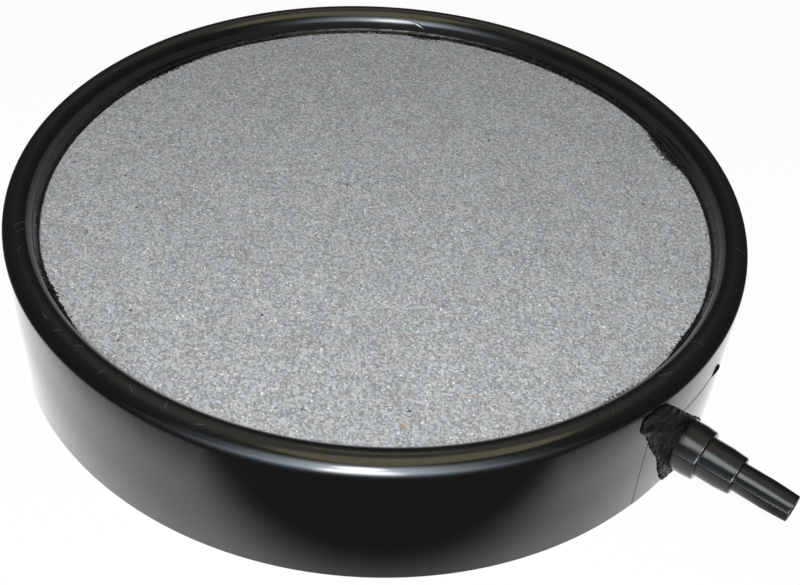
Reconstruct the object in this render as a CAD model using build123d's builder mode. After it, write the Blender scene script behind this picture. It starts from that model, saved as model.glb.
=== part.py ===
from build123d import *
import os
from math import cos, degrees, exp, radians, sin, tan

# Round disc air stone: a moulded dish, a porous stone disc set into it from above and a stepped hose
# connector glued low into the wall. Millimetres, +Z up. The origin is the centre of the flat underside,
# and the hose connector points along +X.

# Dish, outer form
foot_radius = 65.0            # wall at the foot
wall_draft = 2.6              # degrees, the wall leans in towards the rim
rim_width = 4.62              # across the rim's top, from the wall to the recess
rim_outer_round = 2.0
rim_inner_round = 2.6
crown_land = 0.05             # least flat left between the rim's two roundings
foot_edge_chamfer = 0.3

# Heights, from the underside up to the rim's top
floor_thickness = 2.5
chamber_depth = 8.1           # air space under the stone
stone_thickness = 10.0
stone_depth = 4.4             # stone's face under the rim's top

# Stone disc and its recess
seal_gap = 0.7                # adhesive gap between stone and recess wall, at the stone's face
recess_draft = 0.6            # degrees, the recess opens towards the rim
ledge_reach = 3.5             # how far the ledge runs in under the stone
ledge_thickness = 2.2
chamber_wall = 2.2            # wall that carries the ledge
stone_edge_chamfer = 0.4

# Post with ribs that carries the stone's middle over the chamber
post_radius = 4.0
rib_count = 4
rib_thickness = 1.8
rib_reach = 24.0              # from the dish's axis

# Cored groove under the rim wall, open downwards, with radial webs
skirt_thickness = 2.4
groove_draft = 1.0            # degrees on the chamber side
web_count = 18
web_thickness = 1.6
web_setback = 1.0             # webs and port block stop this far above the foot
root_bite = 0.4               # how far webs and pad run into the walls that carry them

# Air inlet in the wall
port_clearance = 0.05         # radial, spigot in its hole
port_block_width = 12.0
pad_near_width = 12.25        # along the wall, from the connector towards -Y
pad_far_width = 9.5           # and towards +Y
pad_height = 15.4
pad_step = 0.15               # how far the pad stands proud of the wall

# Stepped hose connector
bore_radius = 1.3
spigot_radius = 2.8
spigot_reach = 1.0            # how far the spigot enters the chamber
spigot_floor_gap = 0.2        # spigot over the chamber's floor
seat_clearance = 0.2          # shoulder to pad, filled by the adhesive
# Each step: radius of its straight land, radius at its end, land's length, whole length, chamfer at its end
connector_steps = (
    (4.5, 4.35, 2.0, 3.7, 0.35),
    (3.5, 3.31, 3.2, 5.9, 0.35),
    (2.46, 2.26, 5.0, 9.1, 0.2),
)

# Adhesive round the stone
bead_rise = 0.8               # height of the bead where it meets the recess wall
bead_width = 0.7              # how far the bead's slope reaches over the stone
smear_thickness = 0.2
smear_width = 0.6             # usual reach of the smear over the stone's edge
smear_points = 120
# Places where the smear runs in over the stone (or stops short of it): angle, reach and half width
smears = (
    (58.0, 2.2, 7.0), (92.0, 0.5, 16.0), (121.0, 1.1, 3.5), (142.0, -0.8, 6.0), (178.0, 1.2, 9.0),
    (225.0, -0.5, 16.0), (256.0, 1.2, 7.0), (347.0, 0.6, 5.0), (5.0, 0.5, 6.0), (18.0, -0.5, 6.0),
)
# Fine raggedness of that edge: waves per turn, height
ragged_waves = ((17, 0.09), (29, 0.07), (47, 0.05))
wave_phase = 40.0             # degrees, for each wave in a turn
smear_stop = 0.2              # the smear's edge stays at least this far inside the stone's

# Adhesive round the connector's root: a patch on the wall with a leaning face
glue_bulge = 1.1              # beyond the connector's shoulder, on the connector's axis
glue_lean_side = 0.13         # fall of its face for each mm sideways, to follow the wall's turn
glue_lean_up = 0.045          # and for each mm upwards
glue_edge_round = 0.8
glue_floor = 0.1              # stays this far above the underside
# Outline seen along the connector: sideways and up from the connector's axis
glue_outline = (
    (-2.6, -7.5), (-7.0, -0.5), (-8.7, 3.4), (-11.5, 7.6), (-13.2, 11.2), (-15.2, 15.2), (-13.4, 16.8),
    (-9.9, 15.9), (-7.0, 13.6), (-4.2, 11.6), (-0.6, 8.0), (4.2, 6.0), (6.4, 1.6), (5.4, -3.6), (3.0, -7.5),
)

# Levels and radii worked out from the sizes above
ledge_level = floor_thickness + chamber_depth
stone_top = ledge_level + stone_thickness
height = stone_top + stone_depth
groove_top = ledge_level - ledge_thickness
recess_top_radius = foot_radius - height * tan(radians(wall_draft)) - rim_width
seal_radius = recess_top_radius - stone_depth * tan(radians(recess_draft))
recess_ledge_radius = seal_radius - stone_thickness * tan(radians(recess_draft))
stone_radius = seal_radius - seal_gap
chamber_radius = stone_radius - ledge_reach
groove_inner_radius = chamber_radius + chamber_wall
port_height = floor_thickness + spigot_floor_gap + spigot_radius
pad_angle = degrees((pad_near_width + pad_far_width) / foot_radius)
seat_x = foot_radius + pad_step + seat_clearance
spigot_end_x = chamber_radius - spigot_reach
glue_depth = glue_bulge + foot_radius - chamber_radius
glue_trim_low = -height
glue_trim_high = 2 * height


def wall_radius(level):
    """Radius of the drafted outer wall at a height."""
    return foot_radius - level * tan(radians(wall_draft))


def recess_radius(level):
    """Radius of the drafted recess wall at a height."""
    return seal_radius + (level - stone_top) * tan(radians(recess_draft))


# The rim's roundings share its width
outer_run = rim_outer_round * tan(radians(90 - wall_draft) / 2)
inner_limit = (rim_width - outer_run - crown_land) / tan(radians(90 - recess_draft) / 2)
inner_round = min(rim_inner_round, inner_limit)

# Raised pad on the wall round the air inlet: a stretch of the wall's own section, stood proud
pad_start = -pad_near_width / foot_radius
pad_plane = Plane((0, 0, 0), (cos(pad_start), sin(pad_start), 0), (sin(pad_start), -cos(pad_start), 0))
with BuildPart() as port_pad:
    with BuildSketch(pad_plane):
        with BuildLine():
            Polyline(
                (wall_radius(foot_edge_chamfer) - root_bite, foot_edge_chamfer),
                (wall_radius(foot_edge_chamfer) + pad_step, foot_edge_chamfer),
                (wall_radius(pad_height) + pad_step, pad_height),
                (wall_radius(pad_height) - root_bite, pad_height),
                close=True,
            )
        make_face()
    revolve(axis=Axis.Z, revolution_arc=pad_angle)

# Dish body: one turned section with the cored groove open at the foot
with BuildPart() as housing:
    with BuildSketch(Plane.XZ):
        with BuildLine():
            Polyline(
                (0, 0),
                (groove_inner_radius - groove_top * tan(radians(groove_draft)), 0),
                (groove_inner_radius, groove_top),
                (wall_radius(groove_top) - skirt_thickness, groove_top),
                (foot_radius - skirt_thickness, 0),
                (foot_radius, 0),
                (wall_radius(height), height),
                (recess_top_radius, height),
                (recess_ledge_radius, ledge_level),
                (chamber_radius, ledge_level),
                (chamber_radius, floor_thickness),
                (0, floor_thickness),
                close=True,
            )
        make_face()
    revolve(axis=Axis.Z)
    rings = housing.edges().filter_by(GeomType.CIRCLE)
    top_rings = rings.group_by(Axis.Z)[-1].sort_by(SortBy.RADIUS)
    fillet(top_rings[-1], rim_outer_round)
    rings = housing.edges().filter_by(GeomType.CIRCLE)
    fillet(rings.group_by(Axis.Z)[-1].sort_by(SortBy.RADIUS)[0], inner_round)
    rings = housing.edges().filter_by(GeomType.CIRCLE)
    chamfer(rings.group_by(Axis.Z)[0].sort_by(SortBy.RADIUS)[-1], foot_edge_chamfer)

    # Radial webs across the groove, set half a pitch off the connector
    web_middle = (groove_inner_radius + foot_radius - skirt_thickness) / 2
    web_length = foot_radius - skirt_thickness - groove_inner_radius + 2 * root_bite
    with BuildSketch(Plane.XY.offset(web_setback)):
        with PolarLocations(web_middle, web_count, start_angle=180 / web_count):
            Rectangle(web_length, web_thickness)
    extrude(amount=groove_top - web_setback + root_bite)

    # Solid block across the groove that the connector's spigot passes through
    with BuildSketch(Plane.XY.offset(web_setback)):
        with Locations((web_middle, 0)):
            Rectangle(web_length, port_block_width)
    extrude(amount=groove_top - web_setback + root_bite)

    # Raised pad on the wall round the air inlet
    add(port_pad.part)

    # Post with ribs that carries the stone's middle over the chamber, set off the connector's line
    with BuildSketch(Plane.XY.offset(floor_thickness)):
        with PolarLocations(rib_reach / 2, rib_count, start_angle=180 / rib_count):
            SlotOverall(rib_reach, rib_thickness)
        Circle(post_radius)
    extrude(amount=chamber_depth)

    # Hole for the connector's spigot
    with BuildSketch(Plane.YZ.offset(spigot_end_x)):
        with Locations((0, port_height)):
            Circle(spigot_radius + port_clearance)
    extrude(amount=seat_x - spigot_end_x, mode=Mode.SUBTRACT)

# Porous stone disc, edges broken by a small chamfer
with BuildPart() as stone_disc:
    with BuildSketch(Plane.XY.offset(ledge_level)):
        Circle(stone_radius)
    extrude(amount=stone_thickness)
    chamfer(stone_disc.edges().filter_by(GeomType.CIRCLE), stone_edge_chamfer)

# Stepped hose connector: spigot, shoulder and three hose steps, bored through. Each step has a straight
# land at its root and tapers from there to its chamfered end
step_root_x = seat_x
step_points = []
for land_radius, end_radius, land, length, end_chamfer in connector_steps:
    step_points += [
        (step_root_x, port_height + land_radius),
        (step_root_x + land, port_height + land_radius),
        (step_root_x + length - end_chamfer, port_height + end_radius),
        (step_root_x + length, port_height + end_radius - end_chamfer),
    ]
    step_root_x += length
with BuildPart() as hose_connector:
    with BuildSketch(Plane.XZ):
        with BuildLine():
            Polyline(
                (spigot_end_x, port_height + bore_radius),
                (spigot_end_x, port_height + spigot_radius),
                (seat_x, port_height + spigot_radius),
                *step_points,
                (step_root_x, port_height + bore_radius),
                close=True,
            )
        make_face()
    revolve(axis=Axis((0, 0, port_height), (1, 0, 0)))


def smear_edge(angle):
    """Radius of the smear's ragged inner edge at an angle in degrees."""
    radius = stone_radius - smear_width
    for middle, reach, half_width in smears:
        off = (angle - middle + 180) % 360 - 180
        radius -= reach * exp(-(off / half_width) ** 2)
    for waves, size in ragged_waves:
        radius += size * sin(radians((angle + wave_phase) * waves))
    return min(radius, stone_radius - smear_stop)


# Adhesive between stone and recess wall, with a sloping bead and a ragged smear over the stone's edge
with BuildPart() as stone_seal:
    with BuildSketch(Plane.XZ):
        with BuildLine():
            Polyline(
                (stone_radius - bead_width, stone_top + smear_thickness),
                (stone_radius - bead_width, stone_top - stone_edge_chamfer),
                (stone_radius - stone_edge_chamfer, ledge_level),
                (recess_ledge_radius, ledge_level),
                (recess_radius(stone_top + bead_rise), stone_top + bead_rise),
                close=True,
            )
        make_face()
    revolve(axis=Axis.Z)
    with BuildSketch(Plane.XY.offset(stone_top)):
        Circle(stone_radius)
        with BuildLine():
            edge_points = []
            for step in range(smear_points):
                angle = 360 * step / smear_points
                edge_points.append((
                    smear_edge(angle) * cos(radians(angle)),
                    smear_edge(angle) * sin(radians(angle)),
                ))
            Spline(edge_points, periodic=True)
        make_face(mode=Mode.SUBTRACT)
    extrude(amount=smear_thickness)
    add(stone_disc.part, mode=Mode.SUBTRACT)

# Adhesive round the connector's root: a rounded patch trimmed to the wall, its pad and the connector
glue_plane = Plane(
    (seat_x + glue_bulge, 0, port_height),
    (glue_lean_side, 1, 0),
    (1, -glue_lean_side, glue_lean_up),
)
with BuildPart() as connector_glue:
    with BuildSketch(glue_plane):
        with BuildLine():
            Spline(glue_outline, periodic=True)
        make_face()
        Circle(spigot_radius, mode=Mode.SUBTRACT)
    extrude(amount=-glue_depth)
    glue_face = connector_glue.faces().filter_by(glue_plane).sort_by(Axis.X)[-1]
    fillet(glue_face.outer_wire().edges(), glue_edge_round)
    with BuildSketch(Plane.XZ):
        with BuildLine():
            Polyline(
                (0, glue_trim_low),
                (wall_radius(glue_trim_low), glue_trim_low),
                (wall_radius(glue_trim_high), glue_trim_high),
                (0, glue_trim_high),
                close=True,
            )
        make_face()
    revolve(axis=Axis.Z, mode=Mode.SUBTRACT)
    split(bisect_by=Plane.XY.offset(glue_floor), keep=Keep.TOP)
    add(port_pad.part, mode=Mode.SUBTRACT)
    add(hose_connector.part, mode=Mode.SUBTRACT)

nodes = {
    "housing": housing,
    "stone_disc": stone_disc,
    "stone_seal": stone_seal,
    "hose_connector": hose_connector,
    "connector_glue": connector_glue,
}
os.makedirs("parts", exist_ok=True)
for name, builder in nodes.items():
    builder.part.label = name
    export_step(builder.part, f"parts/{name}.step")
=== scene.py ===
"""Looks of a round disc air stone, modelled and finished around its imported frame.

Sizes in the dataclasses are millimetres, as on a drawing, and MM turns them into Blender's metres.
The disc stands on Z = 0, its axis is Z, and the hose connector points along +X.
"""
import logging
from dataclasses import dataclass
from enum import Enum
from functools import reduce
from math import atan2, cos, degrees, pi, radians, sin, tan
from typing import Callable, Iterable, Optional, Sequence

import bmesh
import bpy
import numpy as np
from mathutils import Matrix, Vector


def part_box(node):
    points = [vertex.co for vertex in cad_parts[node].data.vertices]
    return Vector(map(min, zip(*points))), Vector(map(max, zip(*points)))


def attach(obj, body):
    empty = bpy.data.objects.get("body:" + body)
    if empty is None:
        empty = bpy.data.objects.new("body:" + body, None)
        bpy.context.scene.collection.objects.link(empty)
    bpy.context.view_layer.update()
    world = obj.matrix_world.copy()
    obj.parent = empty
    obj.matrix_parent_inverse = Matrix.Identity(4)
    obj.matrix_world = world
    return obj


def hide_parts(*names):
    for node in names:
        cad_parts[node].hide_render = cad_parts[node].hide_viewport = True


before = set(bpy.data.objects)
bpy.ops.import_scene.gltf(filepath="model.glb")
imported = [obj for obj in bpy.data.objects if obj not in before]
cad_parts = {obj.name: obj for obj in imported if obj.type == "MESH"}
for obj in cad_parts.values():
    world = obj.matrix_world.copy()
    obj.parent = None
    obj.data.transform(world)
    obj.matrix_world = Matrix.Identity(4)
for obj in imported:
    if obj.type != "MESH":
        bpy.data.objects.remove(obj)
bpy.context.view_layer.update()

MM = 0.001
TURN = 2 * pi
ROOT = "root"
CONNECTOR_NAME = "hose_nipple"
VIEW_AZIMUTH = 36.77
WHITE = (1.0, 1.0, 1.0)

log = logging.getLogger("air_stone")

Point = tuple[float, float]
Colour = tuple[float, float, float]
Measure = float | np.ndarray
Socket = bpy.types.NodeSocket


class Slot(Enum):
    """Material slots of the record."""

    HOUSING = "housing_plastic"
    STONE = "porous_stone"
    ADHESIVE = "adhesive"
    CONNECTOR = "connector_plastic"


class Pick(Enum):
    """What a selection in edit mode is made of."""

    VERTS = "VERT"
    EDGES = "EDGE"
    FACES = "FACE"


def clear_selection() -> None:
    """Leaves edit mode and deselects every object."""
    if bpy.context.mode != "OBJECT":
        bpy.ops.object.mode_set(mode="OBJECT")
    bpy.ops.object.select_all(action="DESELECT")


def around(place: Vector) -> float:
    """Angle of a place round the disc's axis, in degrees from +X, from -180 to 180."""
    return degrees(atan2(place.y, place.x))


def apart(angle: Measure, middle: float) -> Measure:
    """Signed angle from middle to angle in degrees, from -180 to 180."""
    return (angle - middle + 180) % 360 - 180


def on_ring(angle: float, radius: float, level: float) -> Vector:
    """Place at an angle in degrees, a radius and a level."""
    return Vector((radius * cos(radians(angle)), radius * sin(radians(angle)), level))


def towards(azimuth: float, elevation: float) -> Vector:
    """Unit vector towards an azimuth and an elevation in degrees, azimuth 0 being -Y and 90 +X."""
    turn, rise = radians(azimuth), radians(elevation)
    return Vector((sin(turn) * cos(rise), -cos(turn) * cos(rise), sin(rise)))


def put_round(places: np.ndarray, turn: np.ndarray, radius: np.ndarray) -> None:
    """Moves vertices to directions in radians and radii round the disc's axis, at their levels."""
    places[:, 0] = radius * np.cos(turn)
    places[:, 1] = radius * np.sin(turn)


def arc(centre: Point, wide: float, tall: float, start: float, end: float, steps: int) -> list[Point]:
    """Points along a circular or elliptical arc.

    Args:
        centre: Centre of the arc.
        wide: Its half width, negative to mirror it.
        tall: Its half height.
        start: Direction of the first point, in degrees.
        end: Direction of the last point, in degrees.
        steps: Number of equal steps between them.

    Returns:
        The steps + 1 points in order.
    """
    angles = [radians(start + (end - start) * n / steps) for n in range(steps + 1)]
    return [(centre[0] + wide * cos(a), centre[1] + tall * sin(a)) for a in angles]


class Workpiece:
    """One mesh on the bench, shaped with edit-mode operators."""

    def __init__(self, name: str) -> None:
        """Takes over the primitive that was just added and names it."""
        self.body = bpy.context.active_object
        self.body.name = name
        self.body.data.name = name

    def hold(self) -> None:
        """Selects this piece alone and makes it the active one."""
        clear_selection()
        self.body.select_set(True)
        bpy.context.view_layer.objects.active = self.body

    def edit(self) -> None:
        """Enters edit mode with this piece alone."""
        self.hold()
        bpy.ops.object.mode_set(mode="EDIT")

    def pick(self, kind: Pick, test: Callable[..., bool]) -> int:
        """Selects the vertices, edges or faces that pass a test, and nothing else.

        Args:
            kind: What to select.
            test: Called with each element, true where it is wanted.

        Returns:
            The number of elements selected.
        """
        bpy.ops.mesh.select_mode(type=kind.value)
        bpy.ops.mesh.select_all(action="DESELECT")
        mesh = bmesh.from_edit_mesh(self.body.data)
        elements = {Pick.VERTS: mesh.verts, Pick.EDGES: mesh.edges, Pick.FACES: mesh.faces}[kind]
        wanted = [element for element in elements if test(element)]
        for element in wanted:
            element.select_set(True)
        bmesh.update_edit_mesh(self.body.data)
        return len(wanted)

    def close(self) -> None:
        """Merges doubles and turns every face outwards, then leaves edit mode."""
        bpy.ops.mesh.select_mode(type=Pick.VERTS.value)
        bpy.ops.mesh.select_all(action="SELECT")
        bpy.ops.mesh.remove_doubles(threshold=0.002 * MM)
        bpy.ops.mesh.normals_make_consistent(inside=False)
        bpy.ops.object.mode_set(mode="OBJECT")

    def reshape(self, move: Callable[[np.ndarray], np.ndarray]) -> None:
        """Moves all vertices at once, as a sculpting stroke would.

        Args:
            move: Gets the vertices as an array of rows in millimetres and returns their new places.
        """
        mesh = self.body.data
        places = np.zeros(len(mesh.vertices) * 3)
        mesh.vertices.foreach_get("co", places)
        moved = move(places.reshape(-1, 3) / MM) * MM
        mesh.vertices.foreach_set("co", moved.ravel())
        mesh.update()

    def modify(self, kind: str, **settings: object) -> None:
        """Adds a modifier and applies it.

        Args:
            kind: Its type.
            settings: Its settings.
        """
        self.hold()
        modifier = self.body.modifiers.new(kind.title(), kind)
        for name, value in settings.items():
            setattr(modifier, name, value)
        bpy.ops.object.modifier_apply(modifier=modifier.name)

    def combine(self, other: "Workpiece", operation: str) -> None:
        """Adds another piece to this one, or cuts it out, and removes the other.

        Args:
            other: The second piece.
            operation: UNION or DIFFERENCE.
        """
        self.modify("BOOLEAN", operation=operation, solver="EXACT", object=other.body)
        bpy.data.objects.remove(other.body)

    def polish(self, angle: float) -> None:
        """Smooths the shading over every edge flatter than an angle in degrees."""
        self.hold()
        bpy.ops.object.shade_smooth_by_angle(angle=radians(angle))

    def settle(self, material: bpy.types.Material, slot: Slot, node: str) -> bpy.types.Object:
        """Dresses the finished piece and seats it in the frame.

        Args:
            material: Its finish.
            slot: Material slot of the record; not used.
            node: The CAD node that it stands for.

        Returns:
            The finished object.
        """
        self.body.data.materials.clear()
        self.body.data.materials.append(material)
        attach(self.body, ROOT)
        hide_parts(node)
        triangles = sum(len(face.vertices) - 2 for face in self.body.data.polygons)
        log.info("%s: %d triangles", self.body.name, triangles)
        return self.body


def section_loop(name: str, points: Sequence[Point], is_open: bool) -> Workpiece:
    """Draws a section in the XZ plane from a circle's vertices.

    Args:
        name: Name of the piece.
        points: Radius and level of each corner, in order, in millimetres.
        is_open: Whether the line from the last point to the first is left out.

    Returns:
        The piece, a wire in the shape of the section.
    """
    clear_selection()
    bpy.ops.mesh.primitive_circle_add(vertices=len(points), radius=MM, fill_type="NOTHING")
    piece = Workpiece(name)
    for vertex, (across, level) in zip(piece.body.data.vertices, points):
        vertex.co = (across * MM, 0, level * MM)
    if is_open:
        last = len(points) - 1
        piece.edit()
        piece.pick(Pick.EDGES, lambda edge: {v.index for v in edge.verts} == {0, last})
        bpy.ops.mesh.delete(type="EDGE")
        bpy.ops.object.mode_set(mode="OBJECT")
    return piece


def spin_section(piece: Workpiece, steps: int, axis: Vector) -> None:
    """Spins a section all the way round and closes the seam.

    Args:
        piece: The section, a wire.
        steps: Number of steps in the turn.
        axis: Direction of the axis, which passes through the origin.
    """
    piece.edit()
    bpy.ops.mesh.select_all(action="SELECT")
    bpy.ops.mesh.spin(steps=steps, angle=TURN, center=(0, 0, 0), axis=axis, use_auto_merge=False)
    piece.close()


class Wiring:
    """Adds nodes to a material or group and links them."""

    def __init__(self, tree: bpy.types.NodeTree) -> None:
        """Keeps the tree that is wired."""
        self.tree = tree

    def feed(self, value: object, entry: Socket) -> None:
        """Links an output to an input, or sets the input to a plain value.

        Args:
            value: Output socket, number, vector or colour.
            entry: The input.
        """
        if isinstance(value, Socket):
            self.tree.links.new(value, entry)
        elif entry.type == "RGBA" and len(value) == 3:
            entry.default_value = (*value, 1)
        else:
            entry.default_value = value

    def node(self, kind: str, inputs: Optional[dict] = None, **settings: object) -> bpy.types.Node:
        """Adds one node.

        Args:
            kind: Its type without the ShaderNode prefix.
            inputs: Value or output socket for each input, by name or number.
            settings: Its own settings.

        Returns:
            The node.
        """
        made = self.tree.nodes.new("ShaderNode" + kind)
        for name, value in settings.items():
            setattr(made, name, value)
        for name, value in (inputs or {}).items():
            self.feed(value, made.inputs[name])
        return made

    def group(self, shared: "SharedEffect", inputs: dict) -> bpy.types.NodeOutputs:
        """Outputs of a shared effect, placed with its own values."""
        return self.node("Group", inputs, node_tree=shared.tree()).outputs

    def math(self, operation: str, *values: object, clamp: bool = False) -> Socket:
        """Result of a Math node on up to three values or sockets."""
        inputs = dict(enumerate(values))
        return self.node("Math", inputs, operation=operation, use_clamp=clamp).outputs[0]

    def combined(self, operation: str, parts: Iterable[Socket]) -> Socket:
        """Runs a Math operation through any number of sockets, or gives 0 where there are none."""
        sockets = list(parts) or [self.node("Value").outputs[0]]
        return reduce(lambda first, second: self.math(operation, first, second), sockets)

    def vector(self, operation: str, *values: object) -> Socket:
        """Vector from a Vector Math node on values or sockets."""
        return self.node("VectorMath", dict(enumerate(values)), operation=operation).outputs["Vector"]

    def measure(self, operation: str, *values: object) -> Socket:
        """Number from a Vector Math node on values or sockets."""
        return self.node("VectorMath", dict(enumerate(values)), operation=operation).outputs["Value"]

    def flat(self, vector: Socket) -> Socket:
        """Vector with its upright part taken out."""
        return self.vector("MULTIPLY", vector, (1, 1, 0))

    def between(self, value: object, low: float, high: float) -> Socket:
        """Value eased from 0 at low to 1 at high."""
        inputs = {"Value": value, "From Min": low, "From Max": high}
        return self.node("MapRange", inputs, interpolation_type="SMOOTHSTEP").outputs["Result"]

    def slide(self, value: Socket, low: float, high: float, start: float, end: float) -> Socket:
        """Value mapped evenly from start at low to end at high, and held beyond them."""
        inputs = {"Value": value, "From Min": low, "From Max": high, "To Min": start, "To Max": end}
        return self.node("MapRange", inputs).outputs["Result"]

    def blend(self, factor: object, first: object, second: object, mode: str = "MIX") -> Socket:
        """Mix of two colours.

        Args:
            factor: Share of the second.
            first: Colour or socket.
            second: Colour or socket.
            mode: Blend mode.

        Returns:
            The colour socket.
        """
        inputs = {0: factor, 6: first, 7: second}
        return self.node("Mix", inputs, data_type="RGBA", blend_type=mode).outputs[2]

    def ramp(self, factor: Socket, stops: Iterable[tuple[float, Colour]]) -> Socket:
        """Colour ramp.

        Args:
            factor: Where on the ramp.
            stops: Position and colour of each stop.

        Returns:
            The colour socket.
        """
        made = self.node("ValToRGB", {"Fac": factor})
        elements = made.color_ramp.elements
        for number, (position, colour) in enumerate(stops):
            element = elements[number] if number < 2 else elements.new(position)
            element.position = position
            element.color = (*colour, 1)
        return made.outputs["Color"]

    def noise(self, vector: Socket, size: float, detail: float = 2.0) -> Socket:
        """Noise whose features are about size millimetres."""
        inputs = {"Vector": vector, "Scale": 1 / size, "Detail": detail}
        return self.node("TexNoise", inputs).outputs[0]

    def cells(self, vector: Socket, scale: object) -> tuple[Socket, list[Socket]]:
        """Random cells, scale of them to the millimetre.

        Args:
            vector: Place in millimetres.
            scale: Value or socket.

        Returns:
            The distance from the middle of the cell, and three random numbers for each cell.
        """
        made = self.node("TexVoronoi", {"Vector": vector, "Scale": scale})
        numbers = self.node("SeparateColor", {"Color": made.outputs["Color"]})
        return made.outputs["Distance"], list(numbers.outputs)

    def places(self) -> Socket:
        """Place on the object in millimetres."""
        coordinates = self.node("TexCoord").outputs["Object"]
        scale = (1 / MM, 1 / MM, 1 / MM)
        return self.node("Mapping", {"Vector": coordinates, "Scale": scale}).outputs[0]


class SharedEffect:
    """A surface effect that several finishes use, kept as one node group."""

    name = "effect"
    takes: dict[str, tuple[str, float]] = {}
    ends: tuple[str, ...] = ()
    gives: dict[str, str] = {}

    def tree(self) -> bpy.types.NodeTree:
        """The effect's node group, built the first time it is asked for."""
        known = bpy.data.node_groups.get(self.name)
        return known or self.build()

    def build(self) -> bpy.types.NodeTree:
        """Makes the group's sockets and wires its inside.

        Returns:
            The new node group.
        """
        made = bpy.data.node_groups.new(self.name, "ShaderNodeTree")
        for name in ("Place", *self.ends):
            made.interface.new_socket(name, in_out="INPUT", socket_type="NodeSocketVector")
        for name, (kind, value) in self.takes.items():
            socket = made.interface.new_socket(name, in_out="INPUT", socket_type=kind)
            socket.default_value = value
        for name, kind in self.gives.items():
            made.interface.new_socket(name, in_out="OUTPUT", socket_type=kind)
        wiring = Wiring(made)
        entry = made.nodes.new("NodeGroupInput").outputs
        leaving = made.nodes.new("NodeGroupOutput").inputs
        for name, socket in self.wire(wiring, entry).items():
            wiring.feed(socket, leaving[name])
        return made

    def wire(self, wiring: Wiring, entry: bpy.types.NodeOutputs) -> dict[str, Socket]:
        """Wires the effect.

        Args:
            wiring: Wiring of the node group.
            entry: What comes into the group.

        Returns:
            The socket for each of its outputs.
        """
        raise NotImplementedError


class FineDust(SharedEffect):
    """Sparse pale specks of dust."""

    name = "fine_dust"
    takes = {"Spacing": ("NodeSocketFloat", 2.5), "Speck": ("NodeSocketFloat", 0.06)}
    gives = {"Mask": "NodeSocketFloat"}
    bare_share = 0.6

    def wire(self, wiring: Wiring, entry: bpy.types.NodeOutputs) -> dict[str, Socket]:
        """Round specks in the middle of scattered cells, some of which stay bare.

        Args:
            wiring: Wiring of the node group.
            entry: What comes into the group.

        Returns:
            The specks' mask.
        """
        scale = wiring.math("DIVIDE", 1.0, entry["Spacing"])
        distance, numbers = wiring.cells(entry["Place"], scale)
        near = wiring.math("LESS_THAN", distance, entry["Speck"])
        kept = wiring.math("GREATER_THAN", numbers[0], self.bare_share)
        return {"Mask": wiring.math("MULTIPLY", wiring.math("MULTIPLY", near, kept), numbers[0])}


class StraightMark(SharedEffect):
    """One straight stretch of a fine line on a surface, such as a scratch or a seam."""

    name = "straight_mark"
    takes = {"Width": ("NodeSocketFloat", 0.3)}
    ends = ("Start", "Step")
    gives = {"Mask": "NodeSocketFloat"}

    def wire(self, wiring: Wiring, entry: bpy.types.NodeOutputs) -> dict[str, Socket]:
        """Soft band round the straight line from Start to Start + Step.

        Args:
            wiring: Wiring of the node group.
            entry: What comes into the group.

        Returns:
            The band's mask.
        """
        local = wiring.vector("SUBTRACT", entry["Place"], entry["Start"])
        along = wiring.measure("DOT_PRODUCT", local, entry["Step"])
        whole = wiring.measure("DOT_PRODUCT", entry["Step"], entry["Step"])
        share = wiring.math("DIVIDE", along, whole, clamp=True)
        inputs = {0: entry["Step"], "Scale": share}
        foot = wiring.node("VectorMath", inputs, operation="SCALE").outputs["Vector"]
        off = wiring.measure("DISTANCE", local, foot)
        near = wiring.math("DIVIDE", off, entry["Width"])
        return {"Mask": wiring.math("SUBTRACT", 1.0, wiring.between(near, 0.0, 1.0))}


class WindowGlow(SharedEffect):
    """The low bright window in front of the disc, by direction round the disc's axis."""

    name = "window_glow"
    ends = ("Front",)
    gives = {"Tail": "NodeSocketColor", "Core": "NodeSocketFloat"}
    levels = ((0.0, 0.0), (0.47, 0.02), (0.665, 0.064), (0.835, 0.14), (0.935, 0.24), (1.0, 0.3))
    tint = (0.84, 0.98, 1.1)
    brightness = 30.0
    first_cosine = 0.6
    core_angles = (10.0, 5.0)

    def wire(self, wiring: Wiring, entry: bpy.types.NodeOutputs) -> dict[str, Socket]:
        """A cool glow that grows towards the front, and a narrow core in its middle.

        Args:
            wiring: Wiring of the node group.
            entry: What comes into the group.

        Returns:
            The glow's colour and the core's mask.
        """
        facing = wiring.measure("DOT_PRODUCT", entry["Place"], entry["Front"])
        share = wiring.slide(facing, self.first_cosine, 1.0, 0.0, 1.0)
        stops = [(place, tuple(part * level for part in self.tint)) for place, level in self.levels]
        full = (self.brightness,) * 3
        tail = wiring.blend(1.0, wiring.ramp(share, stops), full, "MULTIPLY")
        outer, inner = [cos(radians(angle)) for angle in self.core_angles]
        return {"Tail": tail, "Core": wiring.between(facing, outer, inner)}


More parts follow.
